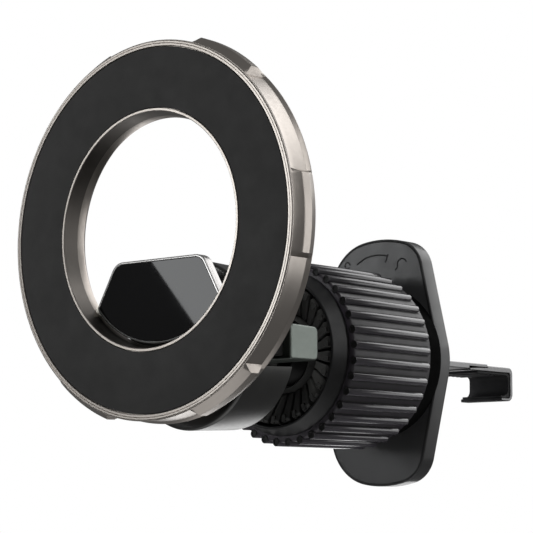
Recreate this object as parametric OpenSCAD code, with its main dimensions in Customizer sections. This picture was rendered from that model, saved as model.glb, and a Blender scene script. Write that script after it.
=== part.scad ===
// Car phone mount: a magnetic ring head on a ball joint, a tightening knob and a vent hook.
// Millimetres. X is to the right, Y to the rear (into the vent), Z up.
// The origin is the centre of the rear contact face, on the knob's axis.

/* [Magnetic ring] */
// Height of the ring's centre above the knob's axis
ring_z = 16.94; // [16.6:0.02:17.2]
// Front plane of the ring's lips
ring_front = -61.6; // [-62:0.1:-61.6]
// Thickness of the ring from its lips to its back cover
ring_thick = 4.8; // [4.7:0.1:5]
// Outer radius of the friction pad
pad_r_out = 28.0; // [27.9:0.05:28]
// Inner radius of the friction pad
pad_r_in = 18.6; // [18.6:0.05:18.8]
// Radius of the ring's outer wall between the grip lugs
ring_r = 28.9; // [28.8:0.05:29]
// Radius of the grip lugs' outer faces
lug_r = 30.0; // [29.6:0.1:30.5]
// Angle that one grip lug spans, in degrees
lug_span = 25.4; // [18:0.2:30]
// Smallest radius of the ring's hole
hole_r = 17.6; // [17.55:0.05:17.7]
// How many magnet segments lie between two cover screws
magnets_per_bay = 5; // [3:1:6]

/* [Panel] */
// Height of the panel's flat top edge
panel_top = 12.75; // [12:0.05:13.5]
// Half of the top edge's length, measured to its sharp corners
panel_half_top = 9.09; // [8.6:0.01:9.4]
// Angle of the panel's slanted sides, in degrees
panel_side_angle = 60.3; // [58:0.1:63]
// Radius of the panel's lower arc, around the ring's centre
panel_arc_r = 17.2; // [17:0.05:17.2]
// Thickness of the panel
panel_thick = 1.7; // [1.6:0.05:1.8]
// Width of the metal rim around the glass
bezel_rim = 0.4; // [0.3:0.05:0.6]

/* [Hub and ball] */
// Radius of the hub at its front rim
hub_r_front = 13.22; // [12.8:0.02:13.4]
// Radius of the hub at its rear rim
hub_r_rear = 12.82; // [12.6:0.02:13]
// Length of the hub
hub_len = 10; // [9.5:0.1:10.2]
// Half of the crossbar's length
bar_half = 12.1; // [11.5:0.1:12.2]
// Radius of the ball
ball_r = 7.0; // [6.8:0.05:7]
// Distance from the ball's centre to the rear contact face
ball_back = 25.1; // [25:0.05:25.2]
// How many fingers the collet has
collet_fingers = 30; // [24:2:36]

/* [Knob] */
// Radius of the knob's drum
drum_r = 14.39; // [14.2:0.01:14.5]
// Radius of one grip rib
rib_r = 0.69; // [0.5:0.01:0.75]
// How many grip ribs the knob has
ribs = 36; // [24:1:40]
// Radius of the opening in the knob's front lip
mouth_r = 11.8; // [11.75:0.05:11.9]

/* [Base plate and hook] */
// Thickness of the base plate
plate_thick = 3.25; // [3:0.05:3.4]
// Thickness of the rear rubber pad
rear_pad_thick = 1.0; // [0.8:0.1:1]
// Radius of the plate's waist
plate_waist_r = 12.5; // [12:0.1:13]
// Radius of the plate's corners
plate_corner_r = 5.5; // [5:0.1:6]
// Width of the hook's strip
strip_w = 9.0; // [8:0.1:9.2]
// Distance from the rear contact face to the back of the hook
hook_reach = 29.25; // [28.5:0.05:30]
// Depth of the hook below the knob's axis
hook_drop = 5.5; // [5:0.1:6]

/* [Hidden] */
$fn = 96;
cut = 60;                                  // longer than any piece that a cutting shape goes through
ring_back = ring_front + ring_thick;

// Panel, its hinge and the neck behind it
panel_front = ring_front + 2.5;
panel_back = panel_front + panel_thick;
panel_corner_r = 2.5;
panel_half_w = 12.72;
glass_back = panel_front + 0.55;
hinge_y = panel_front + 1.05;
hinge_z = 5.5;
pin_r = 0.35;
washer_r = 0.85;
hinge_pocket_r = 1.0;
hinge_pocket_x = 13.6;
hinge_boss_x = 16.2;

// Ring channel
channel_front = ring_front + 1.4;
cover_front = ring_back - 0.7;
channel_r_in = 19.2;
channel_r_out = 27.1;
magnet_r_in = 20.8;
magnet_r_out = 26.4;
cover_screw_r = 23.6;
cover_screws = 3;
post_r = 1.2;
screw_gap = 8;                             // degrees kept free of magnets at each screw

// Hub
hub_front = -52;
hub_rear = hub_front + hub_len;
hub_bore_r = 11.5;
hub_face = 1.2;
cap_thick = 1.0;
notch_low = -3.6;
notch_high = 4.6;
bar_rear = -35.5;
bar_low = -2.2;
bar_high = 3.35;
cross_pin_r = 1.2;
cross_pin_y = -46.5;
cross_pin_z = 0.2;

// Ball joint
ball_y = -ball_back;
stem_r = 3.6;
liner_r_in = ball_r + 0.12;
liner_r_out = ball_r + 0.55;
pocket_r = ball_r + 0.75;
liner_mouth = 50;                          // degrees from the stem's axis to the liner's edge
collet_front = -32.1;
collet_shoulder = -29.1;
collet_r = 11.5;
collet_back = -24;

// Knob and housing
rib_front = -29.5;
rib_back = -9.6;
first_rib = -2.74;                         // degrees from +X to the first rib
drum_front = rib_front + 0.1;
shoulder = 0.45;                           // bevel on the drum's front edge
knob_back = -8.9;
lip_front = -32.35;
lip_r_out = 13.45;
shell_bore_r = 12.6;
sleeve_r_in = 11.55;
housing_r = 11.3;
housing_bore_r = 9.3;
collar_r = 12.9;
collar_front = -8.1;
plug_front = -16.2;
plug_back = -15.2;
slot_front = -19.8;
slot_back = -5.4;
slot_w = 4.4;

// Base plate
plate_back = -rear_pad_thick;
plate_front = plate_back - plate_thick;
corner_x = 3.65;
corner_z = 15.2;
cap_z = 1.05;
left_corner_x = 2.07;
left_corner_z = 12.22;
left_corner_r = 8.75;
housing_screw_r = 11.1;
slide_gap = 0.15;

// Hook
strip_top = 0.55;
shank_top = 0.81;
shank_low = -0.2;
shank_end = 21.4;
lap_start = 15.9;
lap_mid = 0.2;
strip_low = -0.4;
wall_inner = hook_reach - 0.75;
lip_end = 25.5;
lip_top = -hook_drop + 0.6;
boot_start = 18.5;
boot_thick = 0.42;
traveller_front = -8.9;
traveller_back = -6.7;
wing_front = -13.4;
wing_r = 11.1;

// Turns an upright shape so that its Z axis points to the rear.
module to_rear() rotate([-90, 0, 0]) children();

// A body of revolution about the Y axis from an outline of [radius, y] points.
module lathe(outline) to_rear() rotate_extrude() polygon(outline);

// A plain ring or disc about the Y axis.
module washer(r_out, r_in, y0, y1)
    lathe([[r_in, y0], [r_out, y0], [r_out, y1], [r_in, y1]]);

// A rod along Y.
module rod(r, y0, y1) translate([0, y0, 0]) to_rear() cylinder(r = r, h = y1 - y0);

// A rod along X.
module cross_rod(r, x0, x1) translate([x0, 0, 0]) rotate([0, 90, 0]) cylinder(r = r, h = x1 - x0);

// A flat outline drawn in X and Z, given thickness from y0 to y1.
module slab(y0, y1) translate([0, y1, 0]) rotate([90, 0, 0]) linear_extrude(y1 - y0) children();

// A box from its lowest to its highest corner.
module block(low, high) translate(low) cube(high - low);

// Places children at equal angles about the Y axis.
module around(count, radius, start = 0)
    for (i = [0 : count - 1]) rotate([0, start + i * 360 / count, 0]) translate([radius, 0, 0]) children();

// Mirrors children to the left as well.
module both_sides() {
    children();
    mirror([1, 0, 0]) children();
}

// ---------- Magnetic ring ----------

module ring_section() {
    lathe([
        [18.55, ring_front + 0.1], [18.05, ring_front + 0.05], [hole_r + 0.1, ring_front + 2.6],
        [hole_r, ring_back - 1.1], [18.2, ring_back], [18.85, ring_back], [18.85, cover_front],
        [channel_r_in, cover_front], [channel_r_in, channel_front], [channel_r_out, channel_front],
        [channel_r_out, cover_front], [27.75, cover_front], [27.75, ring_back],
        [ring_r + 0.35, ring_back], [ring_r, ring_back - 0.7], [ring_r, ring_front + 0.25],
        [ring_r - 0.15, ring_front], [pad_r_out + 0.02, ring_front],
        [pad_r_out + 0.02, channel_front - 0.45], [18.55, channel_front - 0.45]
    ]);
}

module grip_lug() {
    to_rear() rotate([0, 0, -lug_span / 2]) rotate_extrude(angle = lug_span) polygon([
        [ring_r - 0.6, ring_front + 0.3], [ring_r + 0.1, ring_front + 0.25], [lug_r, ring_front + 1.45],
        [lug_r, ring_front + 3.2], [ring_r + 0.35, ring_back - 0.3], [ring_r - 0.6, ring_back - 0.3]
    ]);
}

module hinge_boss() {
    intersection() {
        translate([0, hinge_y, hinge_z]) cross_rod(1.3, hinge_pocket_x - 1.2, hinge_boss_x);
        translate([0, 0, ring_z]) washer(cut, hole_r + 0.2, channel_front, cover_front);
    }
}

module at_cover_screws() translate([0, 0, ring_z]) around(cover_screws, cover_screw_r, 30) children();

module ring_frame() {
    color("#8f847b") difference() {
        union() {
            translate([0, 0, ring_z]) ring_section();
            translate([0, 0, ring_z]) for (i = [0 : 5]) rotate([0, i * 60, 0]) grip_lug();
            both_sides() hinge_boss();
            at_cover_screws() rod(post_r, channel_front - 0.1, cover_front);
        }
        both_sides() translate([0, hinge_y, hinge_z]) {
            cross_rod(hinge_pocket_r, 11.5, hinge_pocket_x);
            cross_rod(pin_r + 0.05, 13, 15.9);
        }
        at_cover_screws() rod(0.5, channel_front + 0.4, cover_front + 1);
    }
}

module ring_pad() {
    color("#1c1c1e") translate([0, 0, ring_z])
        washer(pad_r_out - 0.05, pad_r_in, ring_front + 0.05, channel_front - 0.45);
}

module ring_magnets() {
    bay = 360 / cover_screws - screw_gap;
    pitch = bay / magnets_per_bay;
    color("#b9bcc2") translate([0, 0, ring_z])
        for (b = [0 : cover_screws - 1], m = [0 : magnets_per_bay - 1])
            rotate([0, 30 + b * 360 / cover_screws + screw_gap / 2 + m * pitch, 0])
                to_rear() rotate([0, 0, 0.3]) rotate_extrude(angle = pitch - 0.6) polygon([
                    [magnet_r_in, channel_front + 0.05], [magnet_r_out, channel_front + 0.05],
                    [magnet_r_out, cover_front - 0.7], [magnet_r_in, cover_front - 0.7]
                ]);
}

module ring_shunt() {
    color("#777b80") difference() {
        translate([0, 0, ring_z]) washer(26.6, 20.7, cover_front - 0.65, cover_front - 0.1);
        at_cover_screws() rod(post_r + 0.1, cover_front - 2, cover_front + 1);
    }
}

module ring_back_cover() {
    color("#2a2a2c") difference() {
        translate([0, 0, ring_z]) washer(27.7, 18.9, cover_front, ring_back);
        at_cover_screws() {
            rod(0.55, cover_front - 1, ring_back + 1);
            rod(1.15, cover_front + 0.2, ring_back + 1);
        }
    }
}

module ring_back_screws() {
    color("#5a5d62") at_cover_screws() {
        rod(0.48, channel_front + 0.5, cover_front + 0.3);
        rod(1.1, cover_front + 0.25, ring_back - 0.05);
    }
}

// ---------- Panel and its hinge ----------

// The panel's outline in X and Z: a flat top with round corners, slanted sides and a lower arc.
module panel_outline(inset) {
    corner = panel_corner_r - inset;
    top = panel_top - inset;
    half_top = panel_half_top - inset * tan(panel_side_angle / 2);
    tangent = corner * tan(panel_side_angle / 2);
    run = (top + 2) / tan(panel_side_angle);
    side_x = half_top - tangent + corner * sin(panel_side_angle);
    side_z = top - corner + corner * cos(panel_side_angle);
    intersection() {
        translate([0, ring_z]) circle(r = panel_arc_r - inset);
        square([2 * (panel_half_w - inset), 60], center = true);
        union() {
            for (side = [-1, 1]) translate([side * (half_top - tangent), top - corner]) circle(r = corner);
            polygon([
                [half_top - tangent, top], [half_top - tangent, top - corner], [side_x, side_z],
                [half_top + run, -2], [-half_top - run, -2],
                [-side_x, side_z], [tangent - half_top, top - corner], [tangent - half_top, top]
            ]);
        }
    }
}

module panel_bezel() {
    color("#b8b4ae") difference() {
        union() {
            slab(panel_front, panel_back) panel_outline(0);
            both_sides() intersection() {
                translate([0, hinge_y, hinge_z]) cross_rod(1.0, 8.5, 12.3);
                block([0, glass_back + 0.1, -20], [20, 0, 20]);
            }
        }
        slab(panel_front - 1, glass_back) panel_outline(bezel_rim);
        both_sides() translate([0, hinge_y, hinge_z]) cross_rod(pin_r + 0.02, 9, 14);
    }
}

module panel_glass() {
    color("#0b0b0d") slab(panel_front + 0.05, glass_back) panel_outline(bezel_rim + 0.04);
}

module hinge_pin(side) {
    x_near = 9.1;
    x_far = 15.8;
    color("#c8c8c8") translate([0, hinge_y, hinge_z])
        cross_rod(pin_r, side > 0 ? x_near : -x_far, side > 0 ? x_far : -x_near);
}

module hinge_pin_left() hinge_pin(-1);

module hinge_pin_right() hinge_pin(1);

module hinge_washers() {
    color("#3a3a3a") both_sides() translate([0, hinge_y, hinge_z]) difference() {
        cross_rod(washer_r, panel_half_w + 0.05, hinge_pocket_x - 0.1);
        cross_rod(pin_r + 0.02, 12, 15);
    }
}

module at_neck_screws() for (side = [-1, 1]) translate([side * 2.8, 0, 4]) children();

module neck_bracket() {
    color("#3c3c3e") difference() {
        block([-5, panel_back, 0.6], [5, hub_front, 7.6]);
        at_neck_screws() rod(0.82, hub_front - 3.6, hub_front + 1);
    }
}

// ---------- Hub and yoke ----------

module hub_shell() {
    color("#3b3b3d") difference() {
        lathe([
            [0, hub_front], [hub_r_front - 0.5, hub_front], [hub_r_front, hub_front + 0.5],
            [hub_r_rear, hub_rear], [hub_bore_r, hub_rear], [hub_bore_r, hub_front + hub_face],
            [0, hub_front + hub_face]
        ]);
        both_sides() block([8, hub_front + 2.2, notch_low], [20, hub_rear + 1, notch_high]);
        at_neck_screws() rod(1.0, hub_front - 1, hub_front + 5);
    }
    color("#3b3b3d") difference() {
        block([-7, hub_front + hub_face - 0.1, -3.4], [7, hub_rear - 2.5, 2.2]);
        translate([0, cross_pin_y, cross_pin_z]) cross_rod(cross_pin_r + 0.02, -12, 12);
    }
}

module hub_rear_cap() {
    color("#303032") difference() {
        washer(hub_bore_r - 0.05, 5.2, hub_rear - cap_thick - 0.2, hub_rear - 0.2);
        block([-20, hub_front, notch_low], [20, 0, notch_high]);
    }
}

module hub_screws() {
    color("#8a8d92") at_neck_screws() {
        rod(0.8, hub_front - 3.5, hub_front + hub_face + 0.1);
        rod(1.5, hub_front + hub_face, hub_front + hub_face + 1.1);
    }
}

module stem_yoke() {
    color("#59605a") difference() {
        union() {
            block([-bar_half, hub_rear - 0.2, bar_low], [bar_half, bar_rear, bar_high]);
            both_sides() block([7.2, hub_front + 2.4, bar_low + 0.6], [10.6, hub_rear, bar_high - 0.6]);
            lathe([
                [0, hub_rear - 0.2], [7.6, hub_rear - 0.2], [5, bar_rear - 1], [4.4, bar_rear], [0, bar_rear]
            ]);
        }
        rod(2.52, hub_rear + 0.6, bar_rear + 1);
        translate([0, cross_pin_y, cross_pin_z]) cross_rod(cross_pin_r + 0.02, -12, 12);
    }
}

module yoke_cross_pin() {
    color("#c8c8c8") translate([0, cross_pin_y, cross_pin_z]) cross_rod(cross_pin_r, -10.5, 10.5);
}

// ---------- Ball joint ----------

module ball_stem() {
    color("#44464a") {
        translate([0, ball_y, 0]) sphere(r = ball_r);
        rod(stem_r, bar_rear, ball_y);
        rod(2.5, hub_rear + 0.7, bar_rear + 0.5);
    }
}

module ball_liner() {
    reach = liner_r_out + 2;
    edge = reach * tan(liner_mouth);
    color("#d8d4c4") translate([0, ball_y, 0]) to_rear() rotate_extrude() difference() {
        circle(r = liner_r_out);
        circle(r = liner_r_in);
        polygon([[0, 0], [edge, reach], [-cut, reach], [-cut, -reach], [edge, -reach]]);
    }
}

module ball_seat() {
    color("#232326") difference() {
        washer(housing_bore_r - 0.35, 2.2, ball_y + 1.4, plug_front - 1);
        translate([0, ball_y, 0]) sphere(r = pocket_r - 0.05);
    }
}

module collet_ring() {
    mouth = sqrt(pow(pocket_r, 2) - pow(4.2, 2));
    shoulder = collet_shoulder - ball_y;
    spigot_r = housing_bore_r - 0.05;
    color("#1b1b1d") difference() {
        translate([0, ball_y, 0]) to_rear() rotate_extrude() difference() {
            polygon([
                [mouth, -4.2], [collet_r - 0.4, collet_front - ball_y],
                [collet_r, collet_front + 0.4 - ball_y], [collet_r, shoulder], [spigot_r, shoulder],
                [spigot_r, collet_back - ball_y], [mouth, collet_back - ball_y]
            ]);
            circle(r = pocket_r);
        }
        around(collet_fingers, 0) block([mouth - 2, collet_front - 1, -0.17], [collet_r + 1, -29.7, 0.17]);
    }
}

module disc_spring() {
    color("#9a9da2") lathe([[3, plug_front - 0.9], [8.4, plug_front - 0.4], [8.4, plug_front - 0.05],
        [3, plug_front - 0.55]]);
}

module preload_plug() {
    color("#b08d4a") washer(housing_bore_r - 0.05, 2.5, plug_front, plug_back);
}

// ---------- Housing and knob ----------

module at_housing_screws() around(4, housing_screw_r, 45) children();

module housing() {
    color("#222224") difference() {
        lathe([
            [housing_bore_r, collet_shoulder], [housing_r, collet_shoulder], [housing_r, -26.05],
            [10.8, -26.05], [10.8, -25.15], [housing_r, -25.15], [housing_r, collar_front],
            [collar_r, collar_front], [collar_r, plate_front], [housing_bore_r, plate_front]
        ]);
        for (side = [0, 180]) rotate([0, side, 0])
            block([8, slot_front, -slot_w / 2], [wing_r + 0.5, slot_back, slot_w / 2]);
        at_housing_screws() rod(0.95, -7.2, plate_front + 1);
    }
}

module retainer_ring() {
    color("#a9acb1") washer(12.3, 10.85, -26, -25.2);
}

module thrust_washer() {
    color("#d8d4c4") washer(12.7, housing_r + 0.1, collar_front - 0.6, collar_front - 0.05);
}

module knob_shell() {
    color("#3a373c") {
        lathe([
            [shell_bore_r, drum_front], [drum_r - shoulder, drum_front], [drum_r, drum_front + shoulder],
            [drum_r, knob_back - 0.4], [drum_r - 0.4, knob_back], [shell_bore_r, knob_back]
        ]);
        around(ribs, drum_r, first_rib) lathe([
            [0, rib_front], [rib_r, rib_front], [rib_r, rib_back - 0.5], [rib_r - 0.4, rib_back], [0, rib_back]
        ]);
    }
}

module knob_lip() {
    color("#3a373c") lathe([
        [mouth_r, -31.7], [mouth_r + 0.15, -32.2], [mouth_r + 0.5, lip_front], [lip_r_out, rib_front - 0.35],
        [lip_r_out, drum_front], [shell_bore_r - 0.05, drum_front], [shell_bore_r - 0.05, -26.3],
        [mouth_r + 0.05, -26.3]
    ]);
}

module knob_thread_sleeve() {
    color("#b08d4a") washer(shell_bore_r - 0.05, sleeve_r_in, -24.8, -9.3);
}

// ---------- Base plate ----------

// Points along an arc in the X and Z plane.
function on_circle(centre, radius, angle) = centre + radius * [cos(angle), sin(angle)];
function arc(centre, radius, from, to, steps = 12) =
    [for (i = [0 : steps]) on_circle(centre, radius, from + (to - from) * i / steps)];

// Where the waist's arc meets a corner, and where the corner meets the arched end.
function waist_angle(x, z, r) = atan2(z, x) - acos((plate_waist_r - r) / norm([x, z]));
function arch_angle(x, z) = atan2(z - cap_z, x);

// The plate's outline in X and Z: a round waist, arched ends, and corners that are rounder on the left.
module plate_outline(inset) {
    arch_r = norm([corner_x, corner_z - cap_z]) + plate_corner_r - inset;
    right_low = waist_angle(corner_x, corner_z, plate_corner_r);
    right_high = arch_angle(corner_x, corner_z);
    left_low = 180 - waist_angle(left_corner_x, left_corner_z, left_corner_r);
    left_high = 180 - arch_angle(left_corner_x, left_corner_z);
    upper = concat(
        arc([0, 0], plate_waist_r - inset, 0, right_low, 6),
        arc([corner_x, corner_z], plate_corner_r - inset, right_low, right_high),
        arc([0, cap_z], arch_r, right_high, left_high),
        arc([-left_corner_x, left_corner_z], left_corner_r - inset, left_high, left_low),
        arc([0, 0], plate_waist_r - inset, left_low, 180, 6)
    );
    last = len(upper) - 1;
    polygon(concat(upper, [for (i = [last - 1 : -1 : 1]) [upper[i][0], -upper[i][1]]]));
}

module hook_slot() {
    block([-strip_w / 2 - slide_gap, -cut, shank_low - slide_gap],
        [strip_w / 2 + slide_gap, cut, shank_top + slide_gap]);
}

module base_plate() {
    color("#1d1d1f") difference() {
        slab(plate_front, plate_back) plate_outline(0);
        hook_slot();
        at_housing_screws() {
            rod(1.05, plate_front - 1, plate_back + 1);
            rod(1.8, plate_back - 1.2, plate_back + 1);
        }
    }
}

module rear_pad() {
    color("#151515") difference() {
        slab(plate_back, 0) plate_outline(0.8);
        hook_slot();
    }
}

module housing_screws() {
    color("#8a8d92") at_housing_screws() {
        rod(0.93, -7.0, plate_back - 1);
        rod(1.7, plate_back - 1.15, plate_back - 0.1);
    }
}

// ---------- Hook and its traveller ----------

module traveller() {
    color("#b08d4a") difference() {
        union() {
            rod(8.8, traveller_front, traveller_back);
            both_sides() intersection() {
                union() {
                    block([8, traveller_front, 0.1 - slot_w / 2], [12, traveller_back, slot_w / 2 - 0.1]);
                    block([9.5, wing_front, 0.1 - slot_w / 2], [12, traveller_back, slot_w / 2 - 0.1]);
                }
                rod(wing_r, wing_front, traveller_back);
            }
        }
        block([-strip_w / 2 - 0.02, traveller_front + 0.4, shank_low - 0.02],
            [strip_w / 2 + 0.02, 0, shank_top + 0.02]);
        translate([0, -7.7, -6]) cylinder(r = 0.62, h = 12);
    }
}

module shank_pin() {
    color("#c8c8c8") translate([0, -7.7, -5.5]) cylinder(r = 0.6, h = 11);
}

module at_rivets() for (side = [-1, 1]) translate([side * 2.4, 18.7, 0]) children();

module hook_shank() {
    color("#c3c4c6") difference() {
        block([-strip_w / 2, traveller_front + 0.45, shank_low], [strip_w / 2, shank_end, shank_top]);
        block([-strip_w, lap_start, -2], [strip_w, cut, lap_mid]);
        translate([0, -7.7, -2]) cylinder(r = 0.62, h = 4);
        at_rivets() translate([0, 0, -2]) cylinder(r = 0.62, h = 4);
    }
}

// The strip's outline seen from the side, drawn in Y and Z: arm, rear wall and forward lip.
module strip_side() {
    polygon(concat(
        [[lap_start + 0.05, strip_low], [wall_inner, strip_low], [wall_inner, lip_top], [lip_end, lip_top]],
        [[lip_end, -hook_drop + 0.3], [lip_end + 0.3, -hook_drop]],
        arc([hook_reach - 1.2, -hook_drop + 1.2], 1.2, -90, 0),
        arc([hook_reach - 1, strip_top - 1], 1, 0, 90),
        [[shank_end + 0.05, strip_top], [shank_end + 0.05, lap_mid - 0.02]],
        [[lap_start + 0.05, lap_mid - 0.02]]
    ));
}

// Gives an outline drawn in Y and Z the given width along X.
module side_plate(width)
    translate([-width / 2, 0, 0]) rotate([90, 0, 90]) linear_extrude(width) children();

module hook_strip() {
    color("#c3c4c6") difference() {
        side_plate(strip_w) strip_side();
        at_rivets() translate([0, 0, -2]) cylinder(r = 0.62, h = 4);
    }
}

module hook_rivets() {
    color("#8a8d92") at_rivets() translate([0, 0, strip_low]) cylinder(r = 0.6, h = shank_top - strip_low);
}

module hook_boot() {
    under = strip_low - boot_thick;
    over_lip = lip_top + boot_thick - 0.05;
    color("#1a1a1a") side_plate(strip_w - 0.4) {
        translate([boot_start, under]) square([wall_inner - boot_start, boot_thick - 0.02]);
        translate([wall_inner - boot_thick, lip_top + 0.02])
            square([boot_thick - 0.02, strip_low - lip_top - 0.04]);
        translate([lip_end + 0.2, lip_top + 0.02]) square([wall_inner - lip_end - 0.3, over_lip - lip_top]);
    }
}

ring_frame();
ring_pad();
ring_magnets();
ring_shunt();
ring_back_cover();
ring_back_screws();
panel_bezel();
panel_glass();
hinge_pin_left();
hinge_pin_right();
hinge_washers();
neck_bracket();
hub_shell();
hub_rear_cap();
hub_screws();
stem_yoke();
yoke_cross_pin();
ball_stem();
ball_liner();
ball_seat();
collet_ring();
housing();
disc_spring();
preload_plug();
retainer_ring();
thrust_washer();
knob_shell();
knob_lip();
knob_thread_sleeve();
base_plate();
rear_pad();
housing_screws();
traveller();
shank_pin();
hook_shank();
hook_strip();
hook_rivets();
hook_boot();
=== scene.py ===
"""Looks of the car phone mount: magnetic ring head, ball joint, fluted knob, base plate and vent hook.

Lengths are millimetres in the CAD's frame until a mesh is made. X is right, Y is rear, Z is up.
"""

import math

import bpy
import bmesh
from mathutils import Matrix, Vector


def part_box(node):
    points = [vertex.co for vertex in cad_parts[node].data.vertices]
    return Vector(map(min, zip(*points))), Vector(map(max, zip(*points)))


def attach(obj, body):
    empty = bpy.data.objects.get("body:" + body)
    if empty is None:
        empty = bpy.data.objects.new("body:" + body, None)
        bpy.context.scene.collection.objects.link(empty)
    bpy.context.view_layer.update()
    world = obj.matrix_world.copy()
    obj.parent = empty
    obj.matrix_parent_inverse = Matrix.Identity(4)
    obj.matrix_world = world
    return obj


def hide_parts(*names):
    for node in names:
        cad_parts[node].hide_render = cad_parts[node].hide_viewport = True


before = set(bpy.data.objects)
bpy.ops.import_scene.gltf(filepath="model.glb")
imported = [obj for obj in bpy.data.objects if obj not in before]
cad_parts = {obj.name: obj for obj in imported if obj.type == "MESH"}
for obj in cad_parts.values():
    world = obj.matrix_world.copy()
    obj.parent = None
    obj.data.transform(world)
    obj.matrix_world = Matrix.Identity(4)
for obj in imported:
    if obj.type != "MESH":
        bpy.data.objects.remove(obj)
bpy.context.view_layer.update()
MM = 0.001


def box_mm(node):
    """A CAD node's lowest and highest corners in millimetres."""
    low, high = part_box(node)
    return low / MM, high / MM


# ---------- Places, most of them worked out from the CAD nodes ----------

pad_low, pad_high = box_mm("ring_pad")
RING_Z = (pad_low.z + pad_high.z) / 2
RING_FRONT = pad_low.y - 0.05
RING_BACK = box_mm("ring_frame")[1].y
PAD_R = (pad_high.z - pad_low.z) / 2
PANEL_FRONT = box_mm("panel_bezel")[0].y
PANEL_TOP = box_mm("panel_bezel")[1].z
HUB_FRONT = box_mm("hub_shell")[0].y
HUB_BACK = box_mm("hub_shell")[1].y
HUB_R = box_mm("hub_shell")[1].x
BAR_HALF = box_mm("stem_yoke")[1].x
BAR_BACK = box_mm("stem_yoke")[1].y
BAR_BOTTOM = -2.2
BAR_TOP = 3.35
LIP_FRONT = box_mm("knob_lip")[0].y
RIB_FRONT = box_mm("knob_shell")[0].y
KNOB_BACK = box_mm("knob_shell")[1].y
PLATE_LOW, PLATE_HIGH = box_mm("base_plate")
STRIP_LOW, STRIP_HIGH = box_mm("hook_strip")
SHANK_LOW, SHANK_HIGH = box_mm("hook_shank")
BOOT_LOW, BOOT_HIGH = box_mm("hook_boot")

# The object's middle from front to rear, which the lights face, and the floor's height.
MIDDLE_Y = -30.0
FLOOR_Z = -110.0

# The camera's place, where it looks from (degrees from the front, degrees up) and its field of view.
CAMERA_AT = (215.65, -282.59, -26.16)
CAMERA_AZIMUTH = 40.93
CAMERA_ELEVATION = -6.92
FIELD_OF_VIEW = 14.764


# ---------- Materials ----------

def new_material(name, color, roughness, metallic=0.0, coat=0.0, specular=0.5, coat_roughness=0.12):
    """A principled material; returns it with its node tree and shader."""
    material = bpy.data.materials.new(name)
    material.use_nodes = True
    tree = material.node_tree
    shader = tree.nodes["Principled BSDF"]
    shader.inputs["Base Color"].default_value = (*color, 1)
    shader.inputs["Roughness"].default_value = roughness
    shader.inputs["Metallic"].default_value = metallic
    shader.inputs["Coat Weight"].default_value = coat
    shader.inputs["Coat Roughness"].default_value = coat_roughness
    shader.inputs["Specular IOR Level"].default_value = specular
    return material, tree, shader


def noise(tree, scale, detail=3.0, stretch=(1, 1, 1)):
    """Noise in object space, with its scale in features a metre and an optional stretch."""
    coordinates = tree.nodes.new("ShaderNodeTexCoord")
    mapping = tree.nodes.new("ShaderNodeMapping")
    mapping.inputs["Scale"].default_value = stretch
    texture = tree.nodes.new("ShaderNodeTexNoise")
    texture.inputs["Scale"].default_value = scale
    texture.inputs["Detail"].default_value = detail
    tree.links.new(coordinates.outputs["Object"], mapping.inputs["Vector"])
    tree.links.new(mapping.outputs["Vector"], texture.inputs["Vector"])
    return texture.outputs["Fac"]


def ramp(tree, value, low, high, start=0.3, end=0.7):
    """Maps a value to colours or greys between two stops."""
    node = tree.nodes.new("ShaderNodeValToRGB")
    node.color_ramp.elements[0].position = start
    node.color_ramp.elements[0].color = (*low, 1)
    node.color_ramp.elements[1].position = end
    node.color_ramp.elements[1].color = (*high, 1)
    tree.links.new(value, node.inputs["Fac"])
    return node.outputs["Color"]


def vary_roughness(tree, shader, value, low, high):
    """Lets a texture move the roughness between two values."""
    node = tree.nodes.new("ShaderNodeMapRange")
    node.inputs["From Min"].default_value = 0.3
    node.inputs["From Max"].default_value = 0.7
    node.inputs["To Min"].default_value = low
    node.inputs["To Max"].default_value = high
    tree.links.new(value, node.inputs["Value"])
    tree.links.new(node.outputs["Result"], shader.inputs["Roughness"])


def bump(tree, shader, value, height_mm, strength=0.4):
    """Raises the surface by a texture."""
    node = tree.nodes.new("ShaderNodeBump")
    node.inputs["Strength"].default_value = strength
    node.inputs["Distance"].default_value = height_mm * MM
    tree.links.new(value, node.inputs["Height"])
    tree.links.new(node.outputs["Normal"], shader.inputs["Normal"])


def satin_metal(name, dark, light, roughness, grain=(1, 1, 1)):
    """Bead-blasted or brushed metal: soft colour drift and a fine grain."""
    material, tree, shader = new_material(name, light, roughness, metallic=1.0)
    tree.links.new(ramp(tree, noise(tree, 90, 4), dark, light), shader.inputs["Base Color"])
    fine = noise(tree, 1800, 3, grain)
    vary_roughness(tree, shader, fine, roughness * 0.92, roughness * 1.1)
    bump(tree, shader, fine, 0.0006, 0.3)
    return material


def moulded(name, dark, light, roughness, coat=0.0, specular=0.5, texture_mm=0.01):
    """Moulded plastic: faint colour drift, uneven gloss and a fine spark-eroded texture."""
    material, tree, shader = new_material(name, light, roughness, coat=coat, specular=specular)
    tree.links.new(ramp(tree, noise(tree, 120, 4), dark, light), shader.inputs["Base Color"])
    vary_roughness(tree, shader, noise(tree, 400, 3), roughness * 0.88, roughness * 1.12)
    bump(tree, shader, noise(tree, 5200, 2), texture_mm, 0.35)
    return material


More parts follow.
